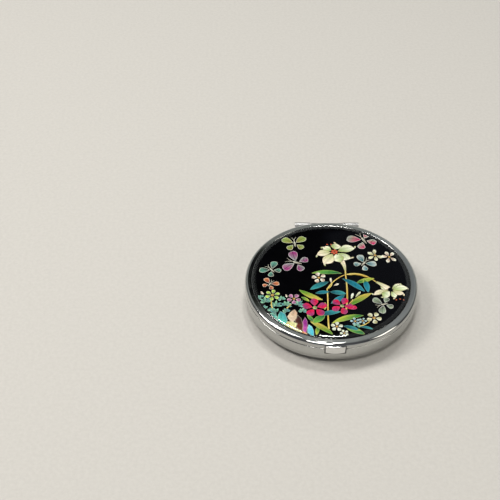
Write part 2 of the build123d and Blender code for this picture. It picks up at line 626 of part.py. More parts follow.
def foliage():
    """Sprays of small narrow leaves along the lower left."""
    pieces = []
    for x, y, turn, reach in (
        (-26.6, -12.4, 96, 3.3), (-22.6, -14.6, 84, 3.4), (-18.6, -14.2, 62, 3.0),
        (-14.0, -14.0, 52, 3.2), (-22.4, -18.0, 150, 3.2), (-27.0, -16.0, 128, 2.4),
        (-18.4, -17.6, 110, 2.2), (8.6, -25.0, 60, 1.9), (-24.6, -17.2, 60, 2.4),
        (-20.2, -11.0, 96, 2.2), (-12.2, -17.6, 74, 2.4), (-28.2, -9.8, 140, 1.8),
    ):
        for i in range(5):
            angle = turn + (i - 2) * 38
            length = reach * (1 - 0.12 * abs(i - 2))
            pieces.append((blade, (*around(x, y, angle, 0.25), *around(x, y, angle, length), 0.95, 0.25)))
    return pieces


def rocks():
    """Tall garden rocks at the lower left edge."""
    return [(crag, rock) for rock in ROCKS]


# Earlier groups lie over later ones, which are cut back round them.
INLAY_GROUPS = (
    ("inlay_lily_hearts", lily_hearts),
    ("inlay_lily_petals", lily_petals),
    ("inlay_red_hearts", red_hearts),
    ("inlay_red_petals", red_petals),
    ("inlay_blossom_hearts", blossom_hearts),
    ("inlay_pale_blossoms", pale_blossoms),
    ("inlay_bright_blossoms", bright_blossoms),
    ("inlay_butterfly_bodies", butterfly_bodies),
    ("inlay_pearl_wings", lambda: wings(BUTTERFLIES_PEARL)),
    ("inlay_bright_wings", lambda: wings(BUTTERFLIES_BRIGHT)),
    ("inlay_teal_leaves", teal_leaves),
    ("inlay_green_leaves", green_leaves),
    ("inlay_stems", stems),
    ("inlay_rocks", rocks),
    ("inlay_foliage", foliage),
)
SMALLEST_PIECE = 0.12    # square millimetres: smaller offcuts are dropped


def prism(face):
    """A piece of inlay from its outline."""
    return extrude(Pos(0, 0, INLAY_Z) * face, INLAY_T, dir=(0, 0, 1))


def boxes_meet(a, b):
    """True when two bounding boxes overlap in plan."""
    return a.min.X < b.max.X and b.min.X < a.max.X and a.min.Y < b.max.Y and b.min.Y < a.max.Y


def make_inlay():
    """Every group of inlay as a list of separate solids, each cut back from those laid before it."""
    field = ring(0, INLAY_FIELD_R, INLAY_Z, PANEL_TOP_Z)
    laid = []
    groups = {}
    for name, design in INLAY_GROUPS:
        solids = []
        for outline, sizes in design():
            piece = prism(outline(*sizes))
            box = piece.bounding_box()
            if hypot(max(-box.min.X, box.max.X), max(-box.min.Y, box.max.Y)) > INLAY_FIELD_R:
                piece &= field
            for other, other_box in laid:
                if piece.solids() and boxes_meet(box, other_box):
                    piece -= other
            wide = prism(outline(*sizes, grow=JOINT_LINE))
            laid.append((wide, wide.bounding_box()))
            solids += [s for s in piece.solids() if s.volume > SMALLEST_PIECE * INLAY_T]
        groups[name] = solids
    return groups


def lacquer_panel(inlay):
    """Black lacquer disc with a pocket for each piece of inlay."""
    return ring(0, PANEL_R, RECESS_Z, PANEL_TOP_Z) - inlay


# ---------------------------------------------------------------- all parts

def main():
    os.makedirs("parts", exist_ok=True)
    inlay = make_inlay()
    parts = {
        "base_shell": base_shell(),
        "inner_tray": inner_tray(),
        "powder_pan": powder_pan(),
        "pan_adhesive": ring(0, PAN_GLUE_R, SHEET, PAN_LOW_Z),
        "pressed_powder": pressed_powder(),
        "powder_puff": powder_puff(),
        "puff_ribbon": puff_ribbon(),
        "base_hinge_leaf": base_hinge_leaf(),
        "hinge_pin": hinge_pin(),
        "latch_guide": latch_guide(),
        "latch_cover": latch_cover(),
        "latch_spring": latch_spring(),
        "push_button": push_button(),
        "latch_slider": latch_slider(),
        "lid_shell": lid_shell(),
        "lid_hinge_leaf": lid_hinge_leaf(),
        "latch_hook": latch_hook(),
        "lacquer_panel": lacquer_panel([solid for solids in inlay.values() for solid in solids]),
        "clear_cover": clear_cover(),
        "mirror_glass": ring(0, MIRROR_R, MIRROR_LOW_Z, GLUE_Z),
        "mirror_adhesive": ring(0, MIRROR_GLUE_R, GLUE_Z, LID_UNDER_Z),
        "mirror_bezel": mirror_bezel(),
    }
    for name, solid in parts.items():
        export_step(solid, f"parts/{name}.step")
    for name, solids in inlay.items():
        export_step(Compound(solids), f"parts/{name}.step")


main()
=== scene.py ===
import math
import random

import bmesh
import bpy
import numpy as np
from mathutils import Matrix, Vector
from mathutils.bvhtree import BVHTree


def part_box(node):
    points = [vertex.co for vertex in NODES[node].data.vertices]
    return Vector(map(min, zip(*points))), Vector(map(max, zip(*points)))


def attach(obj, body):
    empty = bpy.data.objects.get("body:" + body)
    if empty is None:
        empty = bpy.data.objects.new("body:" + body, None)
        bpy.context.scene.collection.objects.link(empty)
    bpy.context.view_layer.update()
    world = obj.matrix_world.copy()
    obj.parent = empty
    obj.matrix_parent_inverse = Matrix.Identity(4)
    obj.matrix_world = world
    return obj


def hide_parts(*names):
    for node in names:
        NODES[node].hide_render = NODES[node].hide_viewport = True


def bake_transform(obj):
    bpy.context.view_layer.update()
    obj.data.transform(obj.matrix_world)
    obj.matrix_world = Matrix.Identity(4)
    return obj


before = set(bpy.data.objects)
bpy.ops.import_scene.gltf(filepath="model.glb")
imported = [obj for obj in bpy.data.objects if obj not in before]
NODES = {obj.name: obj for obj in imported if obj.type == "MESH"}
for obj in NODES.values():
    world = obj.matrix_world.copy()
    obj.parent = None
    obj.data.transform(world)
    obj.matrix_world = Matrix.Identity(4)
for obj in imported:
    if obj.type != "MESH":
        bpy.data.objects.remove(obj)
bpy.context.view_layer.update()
MM = 0.001

# Camera: where the compact is seen from, measured from the middle of the lid's lip.
CAMERA_LENS = 76.1
CAMERA_DISTANCE = 0.430
CAMERA_AZIMUTH = -6.1
CAMERA_ELEVATION = 45.3
CAMERA_PITCH = -43.87
CAMERA_YAW = 0.15

SEED = 7

# Powder cake: a pressed ring near its edge and a quilted pattern inside the ring
CAKE_AROUND, CAKE_STEPS = 420, 150
RING_INSET = 1.6 * MM
RING_WIDTH, RING_DEPTH = 0.35 * MM, 0.3 * MM
QUILT_WAVE = 900         # turns of phase, in radians a metre
QUILT_DEPTH = 0.14 * MM
QUILT_LINE = 0.3         # width of a quilt line, as a share of the wave's height
QUILT_MARGIN, QUILT_FADE = 1.2 * MM, 0.6 * MM

# Puff
PUFF_SCALE = 20          # the puff is filled at this many times its size, where cloth behaves
PUFF_VOXEL = 0.55 * MM
PUFF_AROUND = 96
PUFF_FRAMES = 20
PUFF_FLAT, PUFF_SHOULDER = 0.72, 0.66   # heights before it is filled, as shares of half its final height
PUFF_MOVE = 0.75 * MM    # the filling moves no point further than this
SEAM_WIDTH, SEAM_DEPTH = 0.28 * MM, 0.45 * MM
GATHERS, GATHER_DEPTH = 70, 0.06 * MM

# Ribbon
RIBBON_THICK = 0.07 * MM
RIBBON_ACROSS, RIBBON_ALONG = 16, 90
RIBBON_GAP = 0.03 * MM   # left between the puff and the ribbon's underside
RIBBON_RISE = 0.06 * MM  # how far the middle of the strap stands above its highest sewn point
RIBBON_CUP = 0.02 * MM   # how far its long edges hang below its middle line
SEWN_END, SEWN_SLOPE = 1.4 * MM, 2.2 * MM
STITCH_ROWS = (2, 5, -3, -6)
STITCHES = 11
STITCH_SIZE = (0.09 * MM, 0.3 * MM, 0.05 * MM)

# Floor: size in metres, and how brightly it glows at the compact and a metre away
FLOOR_SIZE = 14
FLOOR_GLOW_NEAR, FLOOR_GLOW_FAR = 0.5, 2.2

# Lights: name, place in metres, size in metres, power in watts, colour
LIGHTS = (
    ("overhead_back", (0.065, 0.35, 0.98), (0.13, 0.14), 2.4, (1.0, 0.99, 0.97)),
    ("back_left", (-0.165, 0.4, 0.93), (0.1, 0.16), 1.4, (1.0, 0.99, 0.97)),
    ("overhead_front", (-0.12, -0.38, 0.98), (0.34, 0.2), 3.0, (1.0, 0.97, 0.93)),
    ("left", (-0.62, 0.1, 0.8), (0.26, 0.34), 4.4, (1.0, 0.97, 0.93)),
    ("right", (0.8, -0.3, 0.6), (0.4, 0.5), 1.8, (1.0, 0.96, 0.86)),
)

# The room: direction, colour there, the facing at which it starts and is full, and 1 to add or
# -1 to take away
ROOM = (
    ((0, 0, 1), (0.1, 0.1, 0.11), 0.0, 0.8, 1),
    ((0, 0, -1), (0.42, 0.415, 0.405), -0.3, -0.1, 1),
    ((0.0, 1, 0.9), (0.28, 0.3, 0.28), 0.35, 0.9, 1),
    ((0.0745, 0.7, 0.71), (0.4, 0.42, 0.41), 0.966, 0.985, -1),
    ((-0.15, 0.7, 0.7), (0.26, 0.27, 0.27), 0.98, 0.995, -1),
    ((0.278, 0.689, 0.669), (0.08, 0.085, 0.1), 0.9724, 0.98, 1),
    ((0, -1, 0.3), (0.13, 0.135, 0.14), 0.75, 0.97, 1),
)
ROOM_LEAST = (0.004, 0.004, 0.005)


# ------------------------------------------------------------------ materials

def linear(red, green, blue):
    """Screen colour, 0 to 255, as linear light."""
    shares = [c / 255 for c in (red, green, blue)]
    return tuple(c / 12.92 if c <= 10 / 255 else ((c + 0.055) / 1.055) ** 2.4 for c in shares)


class Finish:
    """A material built from nodes round one Principled shader."""

    def __init__(self, name, **constants):
        self.material = bpy.data.materials.new(name)
        self.material.use_nodes = True
        self.tree = self.material.node_tree
        self.tree.nodes.clear()
        self.output = self.tree.nodes.new("ShaderNodeOutputMaterial")
        self.shader = self.node("ShaderNodeBsdfPrincipled", **constants)
        self.join(self.shader.outputs[0], self.output.inputs[0])

    def node(self, kind, settings=None, **inputs):
        """A new node. Each input is a value or a socket to join, named by its name with underscores for
        spaces, or by an underscore and its number."""
        made = self.tree.nodes.new(kind)
        for key, value in (settings or {}).items():
            setattr(made, key, value)
        for key, value in inputs.items():
            socket = made.inputs[int(key[1:])] if key[0] == "_" else made.inputs[key.replace("_", " ")]
            if isinstance(value, bpy.types.NodeSocket):
                self.join(value, socket)
            elif hasattr(value, "__len__") and len(value) == 3 and len(socket.default_value) == 4:
                socket.default_value = (*value, 1)
            else:
                socket.default_value = value
        return made

    def join(self, start, end):
        """Links an output to an input."""
        self.tree.links.new(start, end)

    def place(self):
        """Position on the object, in metres."""
        return self.node("ShaderNodeTexCoord").outputs["Object"]

    def stretched(self, scale, turn=(0, 0, 0)):
        """Position, scaled along each axis."""
        return self.node("ShaderNodeMapping", Vector=self.place(), Scale=scale, Rotation=turn).outputs[0]

    def noise(self, scale, detail=3.0, roughness=0.5, vector=None, distortion=0.0):
        """Noise from 0 to 1. scale is in waves a metre."""
        vector = vector if vector is not None else self.place()
        made = self.node("ShaderNodeTexNoise", Vector=vector, Scale=scale, Detail=detail, Roughness=roughness,
                         Distortion=distortion)
        return made.outputs["Fac"]

    def ramp(self, value, stops):
        """Colours or greys along a value: each stop is a position and a colour."""
        made = self.node("ShaderNodeValToRGB", Fac=value)
        while len(made.color_ramp.elements) < len(stops):
            made.color_ramp.elements.new(0.5)
        for element, (at, colour) in zip(made.color_ramp.elements, stops):
            element.position = at
            element.color = (colour,) * 3 + (1,) if isinstance(colour, (int, float)) else (*colour, 1)
        return made.outputs["Color"]

    def span(self, value, low, high, start=0.0, end=1.0):
        """value from start..end mapped to low..high and held there."""
        made = self.node("ShaderNodeMapRange", Value=value)
        for key, number in (("From Min", start), ("From Max", end), ("To Min", low), ("To Max", high)):
            made.inputs[key].default_value = number
        return made.outputs["Result"]

    def maths(self, operation, a, b=0.0, c=0.0):
        """One step of arithmetic on numbers or outputs."""
        made = self.node("ShaderNodeMath", {"operation": operation}, _0=a, _1=b, _2=c)
        return made.outputs[0]

    def mix(self, share, a, b, kind="MIX"):
        """Two colours or colour outputs mixed by a share from 0, all a, to 1, all b."""
        made = self.node("ShaderNodeMix", {"data_type": "RGBA", "blend_type": kind})
        for socket, value in ((made.inputs[0], share), (made.inputs[6], a), (made.inputs[7], b)):
            if isinstance(value, bpy.types.NodeSocket):
                self.join(value, socket)
            elif isinstance(value, (int, float)) and socket == made.inputs[0]:
                socket.default_value = value
            else:
                socket.default_value = (*value, 1)
        return made.outputs[2]

    def attribute(self, name):
        """Node that reads a value or colour stored in the mesh."""
        return self.node("ShaderNodeAttribute", {"attribute_name": name})

    def bump(self, height, distance, strength=1.0):
        """Raises the surface by height times distance, in metres."""
        made = self.node("ShaderNodeBump", Height=height, Distance=distance, Strength=strength)
        self.join(made.outputs[0], self.shader.inputs["Normal"])

    def drive(self, **sockets):
        """Joins sockets to the shader's inputs."""
        for key, value in sockets.items():
            self.join(value, self.shader.inputs[key.replace("_", " ")])


def polished_metal(name, colour, rough=(0.05, 0.13), scratch=0.4):
    """Mirror-polished plating with faint wiping marks, fine hairlines and a few fingerprints."""
    f = Finish(name, Metallic=1.0)
    cloud = f.noise(90, 4, 0.6)
    hairs = f.noise(900, 3, 0.7, vector=f.stretched((1, 14, 3), (0, 0, 0.6)))
    smudge = f.noise(260, 5, 0.65, distortion=0.6)
    tint = f.mix(f.span(cloud, 0, 1, 0.3, 0.7), colour, tuple(c * 0.94 for c in colour))
    rough_value = f.maths("ADD", f.span(smudge, rough[0], rough[1], 0.45, 0.75),
                          f.span(hairs, 0, 0.03, 0.5, 0.8))
    f.drive(Base_Color=tint, Roughness=rough_value)
    f.bump(f.maths("MULTIPLY", hairs, scratch), 0.0000008)
    return f.material


def satin_metal(name, colour, rough=0.3, around=True):
    """Spun or rolled metal with a fine grain."""
    f = Finish(name, Metallic=1.0, Anisotropic=0.5 if around else 0.3)
    place = f.place()
    if around:
        parts = f.node("ShaderNodeSeparateXYZ", Vector=place)
        radius = f.maths("SQRT", f.maths("ADD", f.maths("MULTIPLY", parts.outputs[0], parts.outputs[0]),
                                         f.maths("MULTIPLY", parts.outputs[1], parts.outputs[1])))
        line = f.node("ShaderNodeCombineXYZ", X=radius, Z=parts.outputs[2])
        grain = f.noise(9000, 3, 0.7, vector=line.outputs[0])
    else:
        grain = f.noise(2500, 3, 0.7, vector=f.stretched((0.06, 1, 1)))
    cloud = f.noise(140, 4, 0.6)
    tint = f.mix(f.span(grain, 0, 1, 0.3, 0.7), tuple(c * 0.9 for c in colour), colour)
    rough_value = f.maths("ADD", f.span(grain, rough - 0.06, rough + 0.08, 0.3, 0.7),
                          f.span(cloud, -0.01, 0.02, 0.3, 0.7))
    f.drive(Base_Color=tint, Roughness=rough_value)
    f.bump(grain, 0.0000012)
    return f.material


def mirror_finish():
    """Silvered glass, very flat, with faint dust and wiping marks."""
    f = Finish("mirror_silver", Metallic=1.0)
    haze = f.noise(140, 5, 0.7, distortion=1.2)
    dust = f.noise(4200, 2, 0.5)
    tint = f.mix(f.span(haze, 0, 1, 0.4, 0.8), linear(240, 243, 244), linear(236, 240, 241))
    rough = f.maths("ADD", f.span(haze, 0.004, 0.014, 0.5, 0.8), f.span(dust, 0, 0.1, 0.74, 0.8))
    f.drive(Base_Color=tint, Roughness=rough)
    return f.material


def black_lacquer():
    """Deep black lacquer with the faintest mottling."""
    f = Finish("black_lacquer", IOR=1.5, Specular_IOR_Level=0.06)
    cloud = f.noise(120, 4, 0.6)
    speck = f.noise(2600, 2, 0.5)
    tint = f.mix(f.span(cloud, 0, 1, 0.3, 0.7), linear(2, 2, 3), linear(5, 5, 7))
    f.drive(Base_Color=tint, Roughness=f.span(speck, 0.12, 0.2, 0.4, 0.7))
    f.bump(cloud, 0.00001)
    return f.material


def clear_resin():
    """Clear glossy resin: what is under it shows straight through, and its surface mirrors the room."""
    f = Finish("clear_resin", Roughness=0.03)
    f.tree.nodes.remove(f.shader)
    wave = f.noise(60, 2, 0.4)
    marks = f.noise(320, 5, 0.7, distortion=0.8)
    normal = f.node("ShaderNodeBump", Height=wave, Distance=0.00001, Strength=0.6)
    gloss = f.node("ShaderNodeBsdfGlossy", Color=(1, 1, 1), Roughness=f.span(marks, 0.012, 0.05, 0.55, 0.8),
                   Normal=normal.outputs[0])
    clear = f.node("ShaderNodeBsdfTransparent", Color=(0.985, 0.99, 0.99))
    fresnel = f.node("ShaderNodeFresnel", IOR=1.52, Normal=normal.outputs[0])
    outside = f.maths("SUBTRACT", 1.0, f.node("ShaderNodeNewGeometry").outputs["Backfacing"])
    share = f.maths("MULTIPLY", fresnel.outputs[0], outside)
    both = f.node("ShaderNodeMixShader", _0=share, _1=clear.outputs[0], _2=gloss.outputs[0])
    f.join(both.outputs[0], f.output.inputs[0])
    return f.material


def plain_adhesive():
    """Pale double-sided adhesive."""
    f = Finish("adhesive_film", Roughness=0.6)
    cloud = f.noise(900, 4, 0.6)
    f.drive(Base_Color=f.mix(cloud, linear(226, 222, 205), linear(204, 199, 182)))
    f.bump(cloud, 0.00002)
    return f.material


def shell_finish(name, veins=9.0, vein_depth=0.35, line=(0.8, 0.78, 0.6), line_share=0.55, painted_sheen_share=0.35):
    """Pearly shell. Every piece carries its own two colours, how far along and across it a point is,
    and how far the point is from its edge, in millimetres."""
    f = Finish(name, IOR=1.53, Specular_IOR_Level=0.2)
    along = f.attribute("along").outputs["Fac"]
    across = f.attribute("across").outputs["Fac"]
    rim = f.attribute("rim").outputs["Fac"]
    root = f.attribute("root_colour").outputs["Color"]
    tip = f.attribute("tip_colour").outputs["Color"]
    way = f.maths("ADD", along, f.maths("MULTIPLY", across, 0.22))
    body = f.mix(f.span(way, 0, 1, 0.12, 0.85), root, tip)
    # pearly clouds: pink, green and blue drift across the shell, a painted iridescent sheen fixed to the
    # surface
    drift = f.noise(420, 3, 0.55, distortion=1.4)
    painted_sheen_colour = f.ramp(drift, ((0.3, linear(255, 214, 222)), (0.45, linear(236, 255, 232)),
                           (0.6, linear(214, 236, 255)), (0.75, linear(255, 244, 214))))
    body = f.mix(painted_sheen_share, body, f.mix(1.0, body, painted_sheen_colour, "MULTIPLY"))
    flecks = f.noise(2600, 4, 0.65)
    body = f.mix(f.span(flecks, 0, 0.3, 0.35, 0.7), body, f.mix(1.0, body, (1.7, 1.7, 1.65), "MULTIPLY"))
    # fine lines that run from the root to the tip, and a midrib
    comb = f.maths("SINE", f.maths("MULTIPLY", across, veins))
    lines = f.span(comb, 0, 1, 0.72, 0.98)
    rib = f.span(f.maths("ABSOLUTE", across), 1, 0, 0.03, 0.13)
    line_share_here = f.maths("MULTIPLY", lines, vein_depth)
    body = f.mix(line_share_here, body, f.mix(1.0, body, (0.35, 0.38, 0.36), "MULTIPLY"))
    rib_share_here = f.maths("MULTIPLY", rib, vein_depth * 1.3)
    body = f.mix(rib_share_here, body, f.mix(1.0, body, (0.25, 0.3, 0.26), "MULTIPLY"))
    # a pale line cut round the edge
    edge = f.span(rim, 1, 0, 0.07, 0.2)
    body = f.mix(f.maths("MULTIPLY", edge, line_share), body, line)
    relief = f.maths("ADD", f.maths("MULTIPLY", lines, -0.5), f.maths("MULTIPLY", flecks, 0.4))
    f.drive(Base_Color=body, Roughness=f.span(drift, 0.22, 0.42, 0.3, 0.7))
    f.bump(relief, 0.00001)
    return f.material


# ------------------------------------------------------------------ mesh helpers

def new_piece(name, vertices, faces, smooth=True):
    """A mesh object from lists of points and faces."""
    mesh = bpy.data.meshes.new(name)
    mesh.from_pydata([tuple(v) for v in vertices], [], [tuple(f) for f in faces])
    mesh.update()
    piece = bpy.data.objects.new(name, mesh)
    bpy.context.scene.collection.objects.link(piece)
    if smooth:
        mesh.shade_smooth()
    return piece


def set_attribute(mesh, name, kind, values):
    """Stores one value or colour for each vertex."""
    layer = mesh.attributes.new(name, kind, "POINT")
    key = "color" if kind == "FLOAT_COLOR" else "value"
    layer.data.foreach_set(key, np.asarray(values, np.float32).ravel())


def finish_piece(piece, material, body, slot, *nodes):
    """Gives a piece its material and body, and hides the CAD nodes that it replaces; slot is not used."""
    piece.data.materials.clear()
    piece.data.materials.append(material)
    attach(piece, body)
    if nodes:
        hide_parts(*nodes)


def paint(node, material):
    """Gives a CAD node a material."""
    slots = NODES[node].data.materials
    slots.clear()
    slots.append(material)


# ------------------------------------------------------------------ shell inlay

FINEST = 0.32 * MM       # longest edge of the triangles in a piece of inlay
ROUNDS = 6               # most times that the triangles are divided
CROWN = 0.02 * MM        # how far the middle of a piece stands above its edge
CROWN_EDGE = 0.5 * MM    # distance from the edge at which it is fully raised
SEAT_SHARE = 0.2         # a feeler's area is smaller than this share of the largest body's
BINS = 12                # stretches of a piece's length in which its width is measured
BIN_OVERLAP = 0.3 * MM
LEAST_HALF_WIDTH = 0.05 * MM


def islands(node):
    """Outline of each separate piece of shell in a CAD node, as arrays of points in plan."""
    mesh = bmesh.new()
    mesh.from_mesh(NODES[node].data)
    bmesh.ops.remove_doubles(mesh, verts=mesh.verts, dist=1e-6)
    for face in mesh.faces:
        face.normal_update()
    top = max(v.co.z for v in mesh.verts)
    flat = [f for f in mesh.faces if f.normal.z > 0.9 and f.calc_center_median().z > top - 1e-5]
    members = set(flat)
    follows = {}
    for face in flat:
        for loop in face.loops:
            if not any(other in members for other in loop.edge.link_faces if other is not face):
                follows[loop.vert] = loop.link_loop_next.vert
    outlines = []
    while follows:
        start, outline = next(iter(follows)), []
        at = start
        while at in follows:
            outline.append((at.co.x, at.co.y))
            at = follows.pop(at)
        if len(outline) > 3:
            outlines.append(np.array(outline))
    mesh.free()
    return outlines, top


def area_of(outline):
    """Area inside an outline, in square metres."""
    x, y = outline[:, 0], outline[:, 1]
    return 0.5 * abs(np.dot(x, np.roll(y, -1)) - np.dot(y, np.roll(x, -1)))


def rim_distance(points, outline):
    """Distance of each point from an outline."""
    a, b = outline, np.roll(outline, -1, 0)
    run = b - a
    length2 = np.maximum((run**2).sum(1), 1e-18)
    best = np.full(len(points), 1e9)
    for start, way, l2 in zip(a, run, length2):
        t = np.clip(((points - start) @ way) / l2, 0, 1)
        best = np.minimum(best, np.hypot(*(points - start - t[:, None] * way).T))
    return best


def plate(outline, top, thickness):
    """One piece of shell as a closed mesh: crowned top, straight sides and a flat underside."""
    mesh = bmesh.new()
    ring = [mesh.verts.new((x, y, top)) for x, y in outline]
    face = mesh.faces.new(ring)
    if face.normal.z < 0:
        face.normal_flip()
    bmesh.ops.triangulate(mesh, faces=[face])
    for _ in range(ROUNDS):
        inner = [e for e in mesh.edges if e.calc_length() > FINEST and len(e.link_faces) == 2]
        if not inner:
            break
        bmesh.ops.subdivide_edges(mesh, edges=inner, cuts=1)
        bmesh.ops.triangulate(mesh, faces=mesh.faces[:])
        bmesh.ops.beautify_fill(mesh, faces=mesh.faces[:], edges=mesh.edges[:])
    points = np.array([v.co.xy for v in mesh.verts])
    distance = rim_distance(points, outline)
    rise = CROWN * np.clip(distance / CROWN_EDGE, 0, 1) ** 0.6
    for v, up in zip(mesh.verts, rise):
        v.co.z += up
    rims = [e for e in mesh.edges if len(e.link_faces) == 1]
    made = bmesh.ops.extrude_edge_only(mesh, edges=rims)
    low = [v for v in made["geom"] if isinstance(v, bmesh.types.BMVert)]
    for v in low:
        v.co.z = top - thickness
    bottom = [e for e in made["geom"] if isinstance(e, bmesh.types.BMEdge) and len(e.link_faces) == 1]
    bmesh.ops.contextual_create(mesh, geom=bottom)
    bmesh.ops.recalc_face_normals(mesh, faces=mesh.faces[:])
    vertices = np.array([v.co[:] for v in mesh.verts])
    mesh.verts.index_update()
    faces = [[v.index for v in f.verts] for f in mesh.faces]
    mesh.free()
    return vertices, faces


def lay_out(points, outline, wide_end_is_tip):
    """How far along (0 to 1) and across (-1 to 1) a piece each point is."""
    middle = outline.mean(0)
    _, _, axes = np.linalg.svd(outline - middle)
    way, side = axes[0], axes[1]
    s, t = (outline - middle) @ way, (outline - middle) @ side
    low, high = s.min(), s.max()
    bins = np.linspace(low, high, BINS + 1)
    centre, half = [], []
    for a, b in zip(bins[:-1], bins[1:]):
        inside = t[(s >= a - BIN_OVERLAP) & (s <= b + BIN_OVERLAP)]
        centre.append((inside.max() + inside.min()) / 2 if len(inside) else 0)
        half.append(max(np.ptp(inside) / 2, LEAST_HALF_WIDTH) if len(inside) else LEAST_HALF_WIDTH)
    mids = (bins[:-1] + bins[1:]) / 2
    centre, half = np.array(centre), np.array(half)
    along = ((points - middle) @ way - low) / max(high - low, 1e-9)
    at = (points - middle) @ way
    across = ((points - middle) @ side - np.interp(at, mids, centre)) / half.max()
    heavy_far = (half * (mids - mids.mean())).sum() > 0
    if heavy_far != wide_end_is_tip:
        along = 1 - along
    return along, across


def nearest_seat(outlines, seats):
    """Number of the flower or insect that each piece belongs to, counted from the left.
    seats names a node with one round or long piece in the middle of each."""
    found = islands(seats)[0]
    least = SEAT_SHARE * max(area_of(o) for o in found)
    middles = sorted((tuple(o.mean(0)) for o in found if area_of(o) > least), key=lambda m: m[0])
    nearest = [min(range(len(middles)), key=lambda i: math.dist(middles[i], o.mean(0))) for o in outlines]
    used = sorted(set(nearest))
    return [used.index(i) for i in nearest]


def inlay(node, slot, palette, material, seats=None, wide_end_is_tip=True, spread=0.12):
    """Builds a CAD inlay node's pieces afresh with the colours of a palette: pairs of root and tip colour.
    Colours are dealt out from left to right, to single pieces or to what sits round the pieces of seats."""
    outlines, top = islands(node)
    low = min(v.co.z for v in NODES[node].data.vertices)
    order = np.argsort(np.argsort([o[:, 0].mean() for o in outlines]))
    if seats:
        order = nearest_seat(outlines, seats)
    dice = random.Random(SEED)
    vertices, faces, along, across, rim, roots, tips = [], [], [], [], [], [], []
    for outline, number in zip(outlines, order):
        points, polygons = plate(outline, top, top - low)
        root, tip = palette[number % len(palette)]
        shade = 1 + spread * (2 * dice.random() - 1)
        u, v = lay_out(points[:, :2], outline, wide_end_is_tip)
        start = len(vertices)
        vertices += list(points)
        faces += [[i + start for i in p] for p in polygons]
        along += list(u)
        across += list(v)
        rim += list(rim_distance(points[:, :2], outline) / MM)
        roots += [(*(min(c * shade, 1) for c in root), 1)] * len(points)
        tips += [(*(min(c * shade, 1) for c in tip), 1)] * len(points)
    piece = new_piece(node.replace("inlay_", "shell_"), vertices, faces, smooth=False)
    set_attribute(piece.data, "along", "FLOAT", along)
    set_attribute(piece.data, "across", "FLOAT", across)
    set_attribute(piece.data, "rim", "FLOAT", rim)
    set_attribute(piece.data, "root_colour", "FLOAT_COLOR", roots)
    set_attribute(piece.data, "tip_colour", "FLOAT_COLOR", tips)
    finish_piece(piece, material, "lid", slot, node)
    return piece


